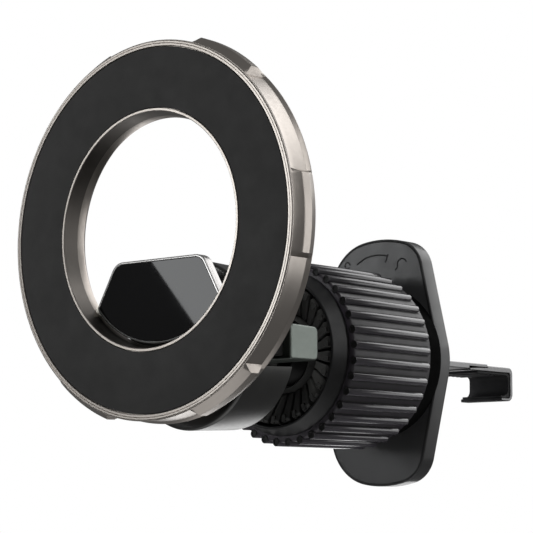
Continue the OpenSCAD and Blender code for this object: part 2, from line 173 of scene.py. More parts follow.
ring_metal = satin_metal("ring_metal", (0.385, 0.352, 0.322), (0.435, 0.40, 0.368), 0.33)
# A darker copy of the ring's metal for the front of its bore: painted shade, standing for a dark reflection
# there.
bore_shade_metal = satin_metal("bore_shade_metal", (0.15, 0.138, 0.127), (0.19, 0.176, 0.162), 0.36)
bezel_metal = satin_metal("bezel_metal", (0.36, 0.352, 0.345), (0.44, 0.432, 0.425), 0.28)
hook_metal = satin_metal("hook_metal", (0.17, 0.17, 0.172), (0.23, 0.23, 0.232), 0.34, (30, 1, 1))
steel = satin_metal("steel", (0.42, 0.42, 0.43), (0.56, 0.56, 0.57), 0.30)
# The hub's own dark metal, also used as painted shade on the panel rim's lower arc.
hub_metal = satin_metal("hub_metal", (0.085, 0.085, 0.083), (0.115, 0.115, 0.112), 0.33)
yoke_metal = satin_metal("yoke_metal", (0.165, 0.185, 0.169), (0.195, 0.216, 0.199), 0.42)
ball_metal = satin_metal("ball_metal", (0.012, 0.012, 0.012), (0.022, 0.022, 0.022), 0.35)
brass = satin_metal("brass", (0.55, 0.41, 0.18), (0.68, 0.52, 0.25), 0.30)
magnet_metal = satin_metal("magnet_metal", (0.60, 0.60, 0.61), (0.72, 0.72, 0.73), 0.20)
pad_rubber = moulded("pad_rubber", (0.0225, 0.0223, 0.0221), (0.0250, 0.0248, 0.0245), 0.60, specular=0.15)
soft_rubber = moulded("soft_rubber", (0.010, 0.010, 0.011), (0.019, 0.019, 0.020), 0.68, specular=0.35)
cover_plastic = moulded("cover_plastic", (0.018, 0.018, 0.019), (0.027, 0.027, 0.028), 0.55)
# The collet's own plastic, also used as painted shade on the yoke's root and arms under the crossbar.
collet_plastic = moulded("collet_plastic", (0.030, 0.030, 0.029), (0.042, 0.042, 0.040), 0.50, specular=0.3)
rib_plastic = moulded("rib_plastic", (0.030, 0.027, 0.033), (0.040, 0.036, 0.043), 0.20, coat=0.6)
# The drum's plastic is darker than the ribs': partly the knob's own tone, partly painted shade in the gaps
# between the ribs.
knob_plastic = moulded("knob_plastic", (0.020, 0.017, 0.0215), (0.026, 0.0225, 0.028), 0.38, specular=0.4)
lip_plastic = moulded("lip_plastic", (0.006, 0.006, 0.0065), (0.009, 0.009, 0.0095), 0.38, specular=0.4)
# Near-black with almost no gloss: painted shade, standing for the contact shadow between the knob and the
# plate.
housing_shade_black = moulded("housing_shade_black", (0.003, 0.003, 0.003), (0.005, 0.005, 0.005), 0.9, specular=0.03)
plate_plastic = moulded("plate_plastic", (0.018, 0.018, 0.0185), (0.027, 0.027, 0.028), 0.33, coat=0.1)
# Near-black plastic: real print for the plate's turn marks, and painted shade for the rib ends, the shadow
# lines beside the ribs and the line round the plate's face.
print_and_shade_black = moulded("print_and_shade_black", (0.003, 0.003, 0.003), (0.005, 0.005, 0.005), 0.6)
pom = moulded("pom", (0.66, 0.64, 0.57), (0.76, 0.74, 0.67), 0.42)


def black_glass():
    """Black glass with a faintly uneven gloss that keeps it from looking flat."""
    material, tree, shader = new_material("glass_black", (0.0015, 0.0015, 0.0018), 0.02, coat=0.3,
                                          specular=0.22, coat_roughness=0.02)
    tint = ramp(tree, noise(tree, 40, 2), (0.0010, 0.0010, 0.0012), (0.0020, 0.0020, 0.0023))
    tree.links.new(tint, shader.inputs["Base Color"])
    vary_roughness(tree, shader, noise(tree, 300, 2), 0.015, 0.025)
    return material


glass_black = black_glass()


# ---------- Mesh helpers ----------

SHARP_DEGREES = 32.0
FINE_STEPS = 256


def build(name, parts, material, body, nodes=(), sharp_deg=SHARP_DEGREES):
    """Makes one object of (vertices, faces) parts, which rides on a body and replaces the named nodes."""
    mesh = bpy.data.meshes.new(name)
    points = []
    faces = []
    for part_points, part_faces in parts:
        start = len(points)
        points += [Vector(p) * MM for p in part_points]
        faces += [tuple(start + i for i in face) for face in part_faces]
    mesh.from_pydata(points, [], faces)
    clean = bmesh.new()
    clean.from_mesh(mesh)
    bmesh.ops.remove_doubles(clean, verts=clean.verts, dist=1e-7)
    bmesh.ops.recalc_face_normals(clean, faces=clean.faces)
    clean.to_mesh(mesh)
    clean.free()
    shade(mesh, sharp_deg)
    obj = bpy.data.objects.new(name, mesh)
    obj.data.materials.append(material)
    bpy.context.scene.collection.objects.link(obj)
    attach(obj, body)
    if nodes:
        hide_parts(*nodes)
    return obj


def shade(mesh, sharp_deg):
    """Smooth shading with crisp edges, and flat shading on the many-sided end caps."""
    mesh.shade_smooth()
    mesh.set_sharp_from_angle(angle=math.radians(sharp_deg))
    for face in mesh.polygons:
        if len(face.vertices) > 4:
            face.use_smooth = False


def loft(sections, closed_path=False, capped=True):
    """Joins sections with the same number of points, in order, into a skin with end caps."""
    count = len(sections[0])
    points = [p for section in sections for p in section]
    faces = []
    spans = len(sections) if closed_path else len(sections) - 1
    for i in range(spans):
        a = i * count
        b = (i + 1) % len(sections) * count
        for j in range(count):
            k = (j + 1) % count
            faces.append((a + j, a + k, b + k, b + j))
    if capped and not closed_path:
        faces.append(tuple(range(count)))
        faces.append(tuple(len(points) - count + j for j in range(count)))
    return points, faces


def ring_point(radius, y, degrees, centre=(0.0, 0.0)):
    """A point at a radius and angle about an axis along Y; 0 degrees is +X and 90 is +Z."""
    turn = math.radians(degrees)
    return (centre[0] + radius * math.cos(turn), y, centre[1] + radius * math.sin(turn))


def lathe(outline, centre=(0.0, 0.0), steps=192):
    """A body of revolution about an axis along Y from a closed [radius, y] outline."""
    sections = [[ring_point(r, y, 360 * i / steps, centre) for r, y in outline] for i in range(steps)]
    return loft(sections, closed_path=True)


def sector(outline, start, end, steps, centre=(0.0, 0.0), edge=0.0):
    """Part of a body of revolution; edge is how far its two end faces are rounded off, in millimetres."""
    angles = [start + (end - start) * i / steps for i in range(steps + 1)]
    sections = [[ring_point(r, y, a, centre) for r, y in outline] for a in angles]
    if edge:
        small = inset(outline, edge)
        mean_r = sum(r for r, _ in outline) / len(outline)
        step = math.degrees(edge / mean_r)
        sections[0] = [ring_point(r, y, start, centre) for r, y in small]
        sections[-1] = [ring_point(r, y, end, centre) for r, y in small]
        sections.insert(1, [ring_point(r, y, start + step, centre) for r, y in outline])
        sections.insert(-1, [ring_point(r, y, end - step, centre) for r, y in outline])
    return loft(sections)


def signed_area(outline):
    """Twice the outline's area, positive when it runs anticlockwise."""
    return sum(a[0] * b[1] - b[0] * a[1] for a, b in zip(outline, outline[1:] + outline[:1]))


def inset(outline, distance):
    """Moves a closed outline inwards by a distance; a very sharp corner moves less than its full way."""
    sharpest = 0.35
    side = 1 if signed_area(outline) > 0 else -1
    moved = []
    count = len(outline)
    for i, point in enumerate(outline):
        here = Vector(point)
        before = (here - Vector(outline[i - 1])).normalized()
        after = (Vector(outline[(i + 1) % count]) - here).normalized()
        n1 = Vector((-before.y, before.x)) * side
        n2 = Vector((-after.y, after.x)) * side
        middle = (n1 + n2).normalized()
        moved.append(tuple(here + middle * distance / max(sharpest, middle.dot(n1))))
    return moved


def rounded(corners, steps=5):
    """Rounds a closed outline's corners: each is (a, b, radius)."""
    outline = []
    count = len(corners)
    for i, (a, b, radius) in enumerate(corners):
        here = Vector((a, b))
        if radius <= 0:
            outline.append((a, b))
            continue
        before = (Vector(corners[i - 1][:2]) - here).normalized()
        after = (Vector(corners[(i + 1) % count][:2]) - here).normalized()
        half = before.angle(after) / 2
        reach = radius / math.tan(half)
        middle = here + (before + after).normalized() * radius / math.sin(half)
        first = here + before * reach - middle
        last = here + after * reach - middle
        turn = first.angle_signed(last)
        for k in range(steps + 1):
            swing = Matrix.Rotation(-turn * k / steps, 2)
            outline.append(tuple(middle + swing @ first))
    return outline


def prism(outline, low, high, edge_low, edge_high, place, steps=4):
    """An extruded outline with rounded rims; place(a, b, depth) gives a point in space."""
    rims = []
    for k in range(steps + 1):
        turn = math.pi / 2 * k / steps
        rims.append((edge_low * (1 - math.sin(turn)), low + edge_low * (1 - math.cos(turn))))
    for k in range(steps + 1):
        turn = math.pi / 2 * k / steps
        rims.append((edge_high * (1 - math.cos(turn)), high - edge_high * (1 - math.sin(turn))))
    sections = []
    tiny = 1e-6
    for shrink, depth in rims:
        shape = inset(outline, shrink) if shrink > tiny else outline
        sections.append([place(a, b, depth) for a, b in shape])
    return loft(sections)


def facing_rear(x, z, y):
    """Places an outline drawn in X and Z."""
    return (x, y, z)


def facing_right(y, z, x):
    """Places an outline drawn in Y and Z."""
    return (x, y, z)


def mirrored(part):
    """The same part on the other side."""
    points, faces = part
    return [(-x, y, z) for x, y, z in points], [tuple(reversed(f)) for f in faces]


def arc_points(centre, radius, start, end, steps):
    """Points along an arc in a plane, from one angle to another in degrees."""
    angles = [math.radians(start + (end - start) * i / steps) for i in range(steps + 1)]
    return [(centre[0] + radius * math.cos(a), centre[1] + radius * math.sin(a)) for a in angles]


def disc(radius, low, high, edge, centre=(0.0, 0.0), steps=48):
    """A round button along Y with rounded rims."""
    outline = arc_points((0, 0), radius, 0, 360 - 360 / steps, steps - 1)
    return prism(outline, low, high, edge, edge, lambda a, b, y: (centre[0] + a, y, centre[1] + b))


# ---------- Magnetic ring ----------

LUG_CENTRES = [60 * i for i in range(6)]
LUG_HALF = 12.7
LUG_RAMP = 1.5
HOLE_R = 18.4


def ring_sections():
    """The ring's section between lugs and at a lug, point for point."""
    front = RING_FRONT
    back = RING_BACK
    inner = [
        (18.55, front + 0.5), (18.52, front + 0.06), (18.46, front), (18.16, front), (18.06, front + 0.08),
        (17.72, front + 2.6), (17.56, front + 3.66), (17.60, front + 3.95), (18.30, back), (18.85, back),
        (18.85, back - 0.72), (19.20, back - 0.72), (19.20, front + 1.4), (27.10, front + 1.4),
        (27.10, back - 0.72), (27.75, back - 0.72), (27.75, back),
    ]
    lip = [
        (28.83, front + 0.03), (28.76, front), (28.52, front), (28.46, front + 0.09), (28.40, front),
        (28.12, front), (28.04, front + 0.06), (28.02, front + 0.5),
    ]
    plain = [
        (29.20, back), (29.26, back - 0.06), (29.24, back - 0.16), (28.94, back - 0.68), (28.90, back - 0.80),
        (28.90, front + 1.55), (28.90, front + 0.52), (28.92, front + 0.40), (29.02, front + 0.26),
        (29.00, front + 0.18), (28.86, front + 0.16),
    ]
    lug = [
        (29.20, back), (29.27, back - 0.07), (29.32, back - 0.18), (29.92, front + 3.24),
        (29.98, front + 3.08), (30.00, front + 1.62), (29.95, front + 1.46), (29.16, front + 0.46),
        (29.06, front + 0.27), (29.00, front + 0.18), (28.86, front + 0.16),
    ]
    return inner + plain + lip, inner + lug + lip


def lug_weight(angle):
    """0 between lugs, 1 on a lug, and between them on its sloped ends."""
    away = min(abs((angle - c + 180) % 360 - 180) for c in LUG_CENTRES)
    return min(1.0, max(0.0, (LUG_HALF - away) / LUG_RAMP))


def ring_angles():
    """Angles for the ring's sections, with one at each end of every lug slope."""
    angles = {float(a) for a in range(360)}
    for centre in LUG_CENTRES:
        for side in (-1, 1):
            angles.add((centre + side * LUG_HALF) % 360)
            angles.add((centre + side * (LUG_HALF - LUG_RAMP)) % 360)
    return sorted(angles)


def make_ring():
    """The metal ring with its lugs and painted shade on the front of its bore, the friction pad, the rear
    cover and its screws.
    """
    plain, lug = ring_sections()
    sections = []
    for angle in ring_angles():
        w = lug_weight(angle)
        mixed = [(p[0] + (q[0] - p[0]) * w, p[1] + (q[1] - p[1]) * w) for p, q in zip(plain, lug)]
        sections.append([ring_point(r, y, angle, (0, RING_Z)) for r, y in mixed])
    ring = build("ring_body", [loft(sections, closed_path=True)], ring_metal, "ring", ["ring_frame"], 18)
    paint_bore_shade(ring)

    inner_r = 18.60
    front = RING_FRONT + 0.06
    rear = front + 0.8
    pad = rounded([(inner_r, front, 0.10), (PAD_R, front, 0.10), (PAD_R, rear, 0), (inner_r, rear, 0)])
    build("ring_friction_pad", [lathe(pad, (0, RING_Z), FINE_STEPS)], pad_rubber, "ring", ["ring_pad"])

    back = RING_BACK - 0.05
    groove = back - 0.12
    cover = rounded([
        (18.92, back - 0.6, 0), (18.92, back, 0.12), (19.7, back, 0.05), (19.8, groove, 0.03),
        (20.0, groove, 0.03), (20.1, back, 0.05), (26.5, back, 0.05), (26.6, groove, 0.03),
        (26.8, groove, 0.03), (26.9, back, 0.05), (27.68, back, 0.12), (27.68, back - 0.6, 0),
    ], 3)
    cover_part = lathe(cover, (0, RING_Z), FINE_STEPS)
    build("ring_rear_cover", [cover_part], cover_plastic, "ring", ["ring_back_cover"])

    screw_circle = 23.6
    screw_r = 1.1
    heads = []
    for bay in range(3):
        x, _, z = ring_point(screw_circle, 0, -30 + 120 * bay)
        heads += screw_head(screw_r, back - 0.2, back + 0.04, (x, z + RING_Z))
    build("ring_rear_screws", heads, steel, "ring", ["ring_back_screws"])


def paint_bore_shade(ring):
    """Paints the front part of the ring's bore a darker metal: painted shade, standing for a dark reflection
    there.
    """
    ring.data.materials.append(bore_shade_metal)
    low = RING_FRONT + 0.3
    high = RING_FRONT + 2.0
    for face in ring.data.polygons:
        middle = face.center / MM
        if math.hypot(middle.x, middle.z - RING_Z) < HOLE_R and low < middle.y < high:
            face.material_index = 1


def screw_head(radius, low, high, centre):
    """A pan head that faces the rear: four raised quarters with a sunk cross between them."""
    floor_y = low + (high - low) * 0.45
    parts = [disc(radius, low, floor_y, 0.02, centre)]
    half_slot = 14
    inner_r = radius * 0.22
    for quarter in range(4):
        start = 90 * quarter + half_slot
        outline = rounded([
            (inner_r, floor_y - 0.01, 0), (radius * 0.96, floor_y - 0.01, 0),
            (radius * 0.90, high, 0.03), (inner_r, high, 0.02),
        ], 3)
        parts.append(sector(outline, start, start + 90 - 2 * half_slot, 10, centre))
    return parts


# ---------- Panel in the ring ----------

PANEL_SIDE_ANGLE = 60.3
PANEL_ARC_R = 17.2
PANEL_HALF_TOP = 9.09
PANEL_THICK = 1.7


def panel_outline():
    """Flat top with round corners, slanted sides, small side corners and an arc about the ring's centre."""
    slope = math.tan(math.radians(PANEL_SIDE_ANGLE))
    side_z = 5.78
    side_x = PANEL_HALF_TOP + (PANEL_TOP - side_z) / slope
    low_angle = math.degrees(math.atan2(side_z - RING_Z, side_x))
    arc = arc_points((0, RING_Z), PANEL_ARC_R, low_angle, -180 - low_angle, 60)
    corners = [(PANEL_HALF_TOP, PANEL_TOP, 2.5), (-PANEL_HALF_TOP, PANEL_TOP, 2.5)]
    left = [(arc[-1][0], arc[-1][1], 0.75)]
    middle = [(x, z, 0) for x, z in reversed(arc[3:-3])]
    right = [(arc[0][0], arc[0][1], 0.75)]
    return rounded(corners + left + middle + right, 10)


def make_panel():
    """The metal rim with its shell and pin bosses, and the black glass in it."""
    outline = panel_outline()
    rim_height = 0.6
    shell = prism(outline, PANEL_FRONT + rim_height, PANEL_FRONT + PANEL_THICK, 0.02, 0.18, facing_rear)
    steps = [
        (0.38, 0.55), (0.36, 0.06), (0.30, 0.0), (0.12, 0.0), (0.03, 0.04), (0.0, 0.14), (0.0, rim_height),
    ]
    sections = []
    for shrink, depth in steps:
        shape = inset(outline, shrink) if shrink else outline
        sections.append([(x, PANEL_FRONT + depth, z) for x, z in shape])
    rim = loft(sections, capped=False)
    bosses = [mirrored(barrel()), barrel()]
    bezel = build("panel_rim", [shell, rim] + bosses, bezel_metal, "head", ["panel_bezel"])
    paint_lower_rim_shade(bezel)
    glass = prism(inset(outline, 0.40), PANEL_FRONT + 0.05, PANEL_FRONT + 0.55, 0.05, 0.02, facing_rear)
    build("panel_black_glass", [glass], glass_black, "head", ["panel_glass"])


def paint_lower_rim_shade(bezel):
    """Paints the rim's lower arc with the hub's darker metal: painted shade, where the arc catches no bright
    light.
    """
    rim_width = 0.8
    bezel.data.materials.append(hub_metal)
    for face in bezel.data.polygons:
        middle = face.center / MM
        if math.hypot(middle.x, middle.z - RING_Z) > PANEL_ARC_R - rim_width:
            face.material_index = 1


def barrel():
    """The half-round boss behind the panel that holds a hinge pin."""
    low, high = box_mm("hinge_pin_right")
    root_y = (low.y + high.y) / 2 + 0.2
    z = (low.z + high.z) / 2
    half_height = 0.9
    bulge = 0.55
    turns = [math.pi * (i / 12 - 0.5) for i in range(13)]
    round_end = [(root_y + 0.2 + bulge * math.cos(a), z + half_height * math.sin(a)) for a in turns]
    outline = [(root_y, z - half_height)] + round_end + [(root_y, z + half_height)]
    return prism(outline, 8.6, 12.2, 0.1, 0.1, facing_right)


# ---------- Neck and hub ----------

def make_hub():
    """The notched hub with its plug, its two-piece rear plate, and the neck that joins it to the panel."""
    fillet = 0.55
    rear_r = HUB_R - 0.42
    wall_r = 11.5
    inside = HUB_FRONT + 1.2
    wall = rounded([
        (0.4, HUB_FRONT, 0), (HUB_R - 0.02, HUB_FRONT, fillet), (rear_r, HUB_BACK, 0.2),
        (wall_r, HUB_BACK, 0.1), (wall_r, inside, 0), (0.4, inside, 0),
    ], 7)
    hub = build("hub_cup", [lathe(wall, steps=FINE_STEPS)], hub_metal, "head", ["hub_shell"])
    carve(hub, notch_cutters())
    plug = disc(0.9, HUB_FRONT + 0.02, HUB_FRONT + 1.1, 0.02)
    build("hub_centre_plug", [plug, pin_block()], hub_metal, "head")

    low, high = box_mm("hub_rear_cap")
    front = low.y
    back = high.y
    cap = rounded([
        (5.3, front, 0.1), (11.4, front, 0.1), (11.4, back, 0.25), (9.2, back, 0.1), (9.0, back - 0.2, 0.1),
        (7.2, back - 0.2, 0.1), (7.0, back, 0.1), (5.3, back, 0.1),
    ], 4)
    halves = [sector(cap, 28, 152, 60), sector(cap, 200, 340, 60)]
    build("hub_rear_plate", halves, collet_plastic, "head", ["hub_rear_cap"])

    low, high = box_mm("neck_bracket")
    neck = rounded([(low.x, low.z, 1.0), (high.x, low.z, 1.0), (high.x, high.z, 1.6), (low.x, high.z, 1.6)])
    block = prism(neck, low.y, high.y, 0.05, 0.05, facing_rear)
    build("neck_block", [block], hub_metal, "head", ["neck_bracket"])


def notch_cutters():
    """Shapes of the notches in the hub's sides, open to the rear, for the crossbar's arms."""
    front = HUB_FRONT + 2.2
    past_rear = HUB_BACK + 3
    notch = rounded([(front, -3.72, 0.9), (past_rear, -3.30, 0), (past_rear, 4.7, 0), (front, 4.5, 0.9)])
    cutter = prism(notch, 8.0, 20.0, 0, 0, facing_right)
    return [cutter, mirrored(cutter)]


def pin_block():
    """The block inside the hub that carries the yoke's cross pin."""
    block = rounded([(-6.9, -3.3, 0.6), (6.9, -3.3, 0.6), (6.9, 2.1, 0.6), (-6.9, 2.1, 0.6)])
    return prism(block, HUB_FRONT + 1.0, HUB_BACK - 2.6, 0.05, 0.3, facing_rear)


def carve(obj, cutters):
    """Cuts the cutters' shapes out of an object and keeps the result as its mesh."""
    tool = build(obj.name + "_tool", cutters, hub_metal, "head")
    modifier = obj.modifiers.new("carve", "BOOLEAN")
    modifier.operation = "DIFFERENCE"
    modifier.solver = "EXACT"
    modifier.object = tool
    graph = bpy.context.evaluated_depsgraph_get()
    mesh = bpy.data.meshes.new_from_object(obj.evaluated_get(graph))
    obj.modifiers.clear()
    obj.data = mesh
    mesh.shade_smooth()
    mesh.set_sharp_from_angle(angle=math.radians(SHARP_DEGREES))
    bpy.data.objects.remove(tool)


def make_yoke():
    """The crossbar with its flared root and arms."""
    front = HUB_BACK - 0.2
    section = rounded([
        (front, BAR_BOTTOM, 0.5), (BAR_BACK, BAR_BOTTOM + 0.05, 0.95), (BAR_BACK, BAR_TOP - 0.15, 0.95),
        (front, BAR_TOP, 0.85),
    ], 8)
    bar = prism(section, -BAR_HALF, BAR_HALF, 0.35, 0.35, facing_right, 6)
    root = rounded([
        (0.3, front, 0), (5.6, front, 0.4), (5.2, front + 2.4, 2.0), (4.4, BAR_BACK, 0.3), (0.3, BAR_BACK, 0)
    ], 8)
    tip = -49.6
    arm_back = front + 0.2
    arm = rounded([(tip, -1.5, 0.8), (arm_back, -1.6, 0), (arm_back, 2.7, 0), (tip, 2.6, 0.8)])
    arms = prism(arm, 7.3, 10.5, 0.25, 0.25, facing_right)
    build("crossbar_yoke", [bar], yoke_metal, "head", ["stem_yoke"])
    # The root and arms take the dark collet plastic as painted shade under the crossbar and inside the hub's
    # notches.
    build("yoke_root", [lathe(root, steps=96), arms, mirrored(arms)], collet_plastic, "head")


# ---------- Ball and collet ----------

BALL_R = 7.0
STEM_R = 3.6
COLLET_FINGERS = 30
COLLET_GAP_DEGREES = 3.0


def make_ball():
    """The ball, with its stem towards the yoke."""
    y = box_mm("ball_stem")[1].y - BALL_R
    stem_front = y - 15.0
    stem_end = y - 6.2
    neck = 6.0
    angles = [math.radians(180 * i / 48) for i in range(1, 48)]
    stem = [(0.2, stem_front), (STEM_R, stem_front), (STEM_R, stem_end)]
    ball = [(BALL_R * math.sin(a), y - BALL_R * math.cos(a)) for a in angles if BALL_R * math.cos(a) < neck]
    outline = stem + ball + [(0.2, y + BALL_R)]
    build("ball_and_stem", [lathe(outline, steps=96)], ball_metal, "head", ["ball_stem"])


def make_collet():
    """Thirty fingers with a raised step at the outer end of each, on a collar."""
    low, high = box_mm("collet_ring")
    front = low.y
    pitch = 360 / COLLET_FINGERS
    finger_outline = rounded([
        (6.6, front + 2.8, 0.15), (11.05, front + 0.05, 0.25), (11.5, front + 0.45, 0.15),
        (11.5, front + 2.7, 0), (6.9, front + 3.6, 0),
    ], 4)
    step = [(10.2, front + 0.15), (11.35, front - 0.02), (11.35, front + 0.9), (10.2, front + 0.9)]
    parts = []
    for finger in range(COLLET_FINGERS):
        start = pitch * finger + COLLET_GAP_DEGREES / 2
        end = pitch * (finger + 1) - COLLET_GAP_DEGREES / 2
        parts.append(sector(finger_outline, start, end, 6, edge=0.10))
        parts.append(sector(step, start + 0.8, start + 4.6, 3, edge=0.06))
    collar = [
        (6.9, front + 3.3), (11.45, front + 2.5), (11.45, front + 3.0), (9.2, front + 3.0), (9.2, high.y),
        (7.7, high.y), (7.0, front + 4.4),
    ]
    parts.append(lathe(collar))
    build("collet_fingers", parts, collet_plastic, "base", ["collet_ring"])


# ---------- Knob ----------

DRUM_R = 14.39
DRUM_BORE_R = 12.6
RIB_R = 0.69
RIBS = 36
FIRST_RIB = 2.74
RIB_BACK = -9.6
LIP_BACK = -26.3
PROUD = 0.012


def make_knob():
    """The drum, its ribs with painted-dark cut ends and painted shadow lines beside them, and the conical lip
    in front.
    """
    front = RIB_FRONT + 0.1
    drum = rounded([
        (DRUM_BORE_R, front, 0), (DRUM_R, front, 0.45), (DRUM_R, KNOB_BACK - 0.35, 0.1),
        (DRUM_R - 0.35, KNOB_BACK, 0.08), (DRUM_BORE_R, KNOB_BACK, 0),
    ], 4)
    build("knob_drum", [lathe(drum, steps=288)], knob_plastic, "knob", ["knob_shell"])
    ribs = []
    ends = []
    shadow_lines = []
    end = [
        (0.02, RIB_FRONT + 0.12), (0.40, RIB_FRONT + 0.12), (0.44, RIB_FRONT), (0.60, RIB_FRONT),
        (0.64, RIB_FRONT + 0.04), (0.64, RIB_FRONT + 0.3), (0.02, RIB_FRONT + 0.3),
    ]
    for rib in range(RIBS):
        angle = FIRST_RIB + 360 / RIBS * rib
        x, _, z = ring_point(DRUM_R, 0, angle)
        ribs.append(lathe(rib_outline(), (x, z), 28))
        ends.append(lathe(end, (x, z), 28))
        shadow_lines += [rib_shadow_line(angle, side) for side in (-1, 1)]
    build("knob_ribs", ribs, rib_plastic, "knob")
    # The rib ends are painted near-black: painted shade for the dark surroundings that their front faces
    # mirror.
    build("knob_rib_ends_painted_dark", ends, print_and_shade_black, "knob")
    # Painted shadow lines: thin near-black bands beside each rib, a hair proud of the drum.
    build("knob_rib_shadow_lines", shadow_lines, print_and_shade_black, "knob")

    lip = rounded([
        (11.8, LIP_FRONT + 0.65, 0.25), (11.95, LIP_FRONT + 0.12, 0.2), (12.3, LIP_FRONT, 0.3),
        (13.36, RIB_FRONT - 0.35, 0.5), (13.40, front, 0), (12.55, front, 0),
        (12.55, LIP_BACK, 0), (11.85, LIP_BACK, 0),
    ], 7)
    build("knob_front_lip", [lathe(lip, steps=FINE_STEPS)], lip_plastic, "knob", ["knob_lip"])


def rib_shadow_line(angle, side):
    """A painted shadow line: a thin dark band on the drum where a rib sinks into it."""
    width = 0.26
    start = angle + side * math.degrees((RIB_R - 0.04) / DRUM_R)
    end = start + side * math.degrees(width / DRUM_R)
    sunk = DRUM_R - 0.1
    raised = DRUM_R + PROUD
    corners = [(sunk, start), (raised, start), (raised, end), (sunk, end)]
    stations = (RIB_FRONT + 0.65, RIB_BACK - 0.3)
    return loft([[ring_point(radius, y, turn) for radius, turn in corners] for y in stations])


def rib_outline():
    """A rod with a cut end in front, which its cap fills, and a round end behind."""
    front = [
        (0.02, RIB_FRONT + 0.2), (0.63, RIB_FRONT + 0.2), (0.66, RIB_FRONT + 0.02), (RIB_R, RIB_FRONT + 0.07),
    ]
    turns = [math.radians(90 * i / 8) for i in range(8)]
    tail = [(RIB_R * math.cos(a), RIB_BACK - RIB_R + RIB_R * math.sin(a)) for a in turns]
    return front + tail + [(0.02, RIB_BACK)]


# ---------- Base plate ----------

WAIST_R = 12.5
ARCH_Z = 1.05
# How far out and how high each corner arc's centre lies, and its radius.
RIGHT_CORNER = (3.65, 15.2, 5.5)
LEFT_CORNER = (2.07, 12.22, 8.75)


def corner_angles(x, z, radius):
    """Where a corner's arc leaves the waist's tangent line, and where it meets the arched end."""
    low = math.degrees(math.atan2(z, x) - math.acos((WAIST_R - radius) / math.hypot(x, z)))
    return low, math.degrees(math.atan2(z - ARCH_Z, x))


def plate_outline(shrink=0.0):
    """Round waist, arched ends, and corners that are rounder on the left."""
    x, z, radius = RIGHT_CORNER
    left_x, left_z, left_radius = LEFT_CORNER
    arch_r = math.hypot(x, z - ARCH_Z) + radius - shrink
    right_low, right_high = corner_angles(*RIGHT_CORNER)
    left_low, left_high = [180 - angle for angle in corner_angles(*LEFT_CORNER)]
    upper = arc_points((0, 0), WAIST_R - shrink, 0, right_low, 8)
    upper += arc_points((x, z), radius - shrink, right_low, right_high, 16)
    upper += arc_points((0, ARCH_Z), arch_r, right_high, left_high, 12)[1:-1]
    upper += arc_points((-left_x, left_z), left_radius - shrink, left_high, left_low, 20)
    upper += arc_points((0, 0), WAIST_R - shrink, left_low, 180, 8)
    return upper + [(px, -pz) for px, pz in upper[-2:0:-1]]


def make_base():
    """The vent plate with its marks and a painted shadow line round its face, and the ribbed rubber pad
    behind it.
    """
    front = PLATE_LOW.y
    back = PLATE_HIGH.y
    plate = prism(plate_outline(), front, back, 0.2, 0.25, facing_rear, 6)
    build("vent_plate", [plate], plate_plastic, "base", ["base_plate"], 25)
    build("vent_pad", pad_parts(back), soft_rubber, "base", ["rear_pad"])
    build("plate_marks", turn_marks(front), print_and_shade_black, "base")
    # A painted shadow line: a thin near-black band round the plate's face, a hair proud of it, standing for
    # the shade at its front edge.
    edge_shadow_line = [(0.20, 0.05), (0.20, -PROUD), (0.50, -PROUD), (0.50, 0.05)]
    loops = [[(x, front + depth, z) for x, z in plate_outline(shrink)] for shrink, depth in edge_shadow_line]
    build("plate_edge_shadow_line", [loft(loops, closed_path=True)], print_and_shade_black, "base")


def pad_parts(plate_back):
    """A thin rubber sheet with level grip bars, and none where the hook comes through."""
    pitch = 2.1
    half_bar = 0.45
    hook_gap = 1.5
    parts = [prism(plate_outline(0.8), plate_back - 0.05, -0.25, 0.02, 0.2, facing_rear)]
    for i in range(-8, 9):
        z = i * pitch
        if abs(z) < hook_gap:
            continue
        reach = min(9.5, 0.86 * half_width(abs(z)))
        bar = rounded([
            (-reach, z - half_bar, 0.4), (reach, z - half_bar, 0.4), (reach, z + half_bar, 0.4),
            (-reach, z + half_bar, 0.4),
        ])
        parts.append(prism(bar, -0.4, 0.0, 0.0, 0.2, facing_rear))
    return parts


def half_width(z):
    """The plate's half width on its narrower side, at a height."""
    outline = plate_outline(0.8)
    for (x0, z0), (x1, z1) in zip(outline, outline[1:]):
        if x0 > 0 and z0 <= z <= z1:
            return x0 + (x1 - x0) * (z - z0) / (z1 - z0)
    return 0.0


def stroke(points, width, front):
    """A flat raised stroke along points in X and Z on the plate's face."""
    half = width / 2
    left = []
    right = []
    for i, point in enumerate(points):
        here = Vector(point)
        before = Vector(points[max(0, i - 1)])
        after = Vector(points[min(len(points) - 1, i + 1)])
        along = (after - before).normalized()
        side = Vector((-along.y, along.x)) * half
        left.append(tuple(here + side))
        right.append(tuple(here - side))
    return prism(left + right[::-1], front - 0.03, front + 0.1, 0.01, 0.0, facing_rear, 1)


def turn_marks(front):
    """A turn arrow between a closed and an open ring mark."""
    width = 0.26
    strokes = [stroke(arc_points((-0.6, 9.6), 8.9, 107, 75, 14), width, front)]
    strokes.append(stroke([(-3.2, 18.1), (-4.9, 17.2)], width, front))
    strokes.append(stroke([(1.9, 18.5), (1.3, 17.1)], width, front))
    strokes.append(stroke(arc_points((-7.0, 17.2), 0.55, 0, 320, 14), width, front))
    strokes.append(stroke(arc_points((4.9, 16.5), 1.0, 20, 200, 10), width, front))
    strokes.append(stroke([(3.95, 16.15), (3.4, 15.6)], width, front))
    return strokes


# ---------- Hook ----------

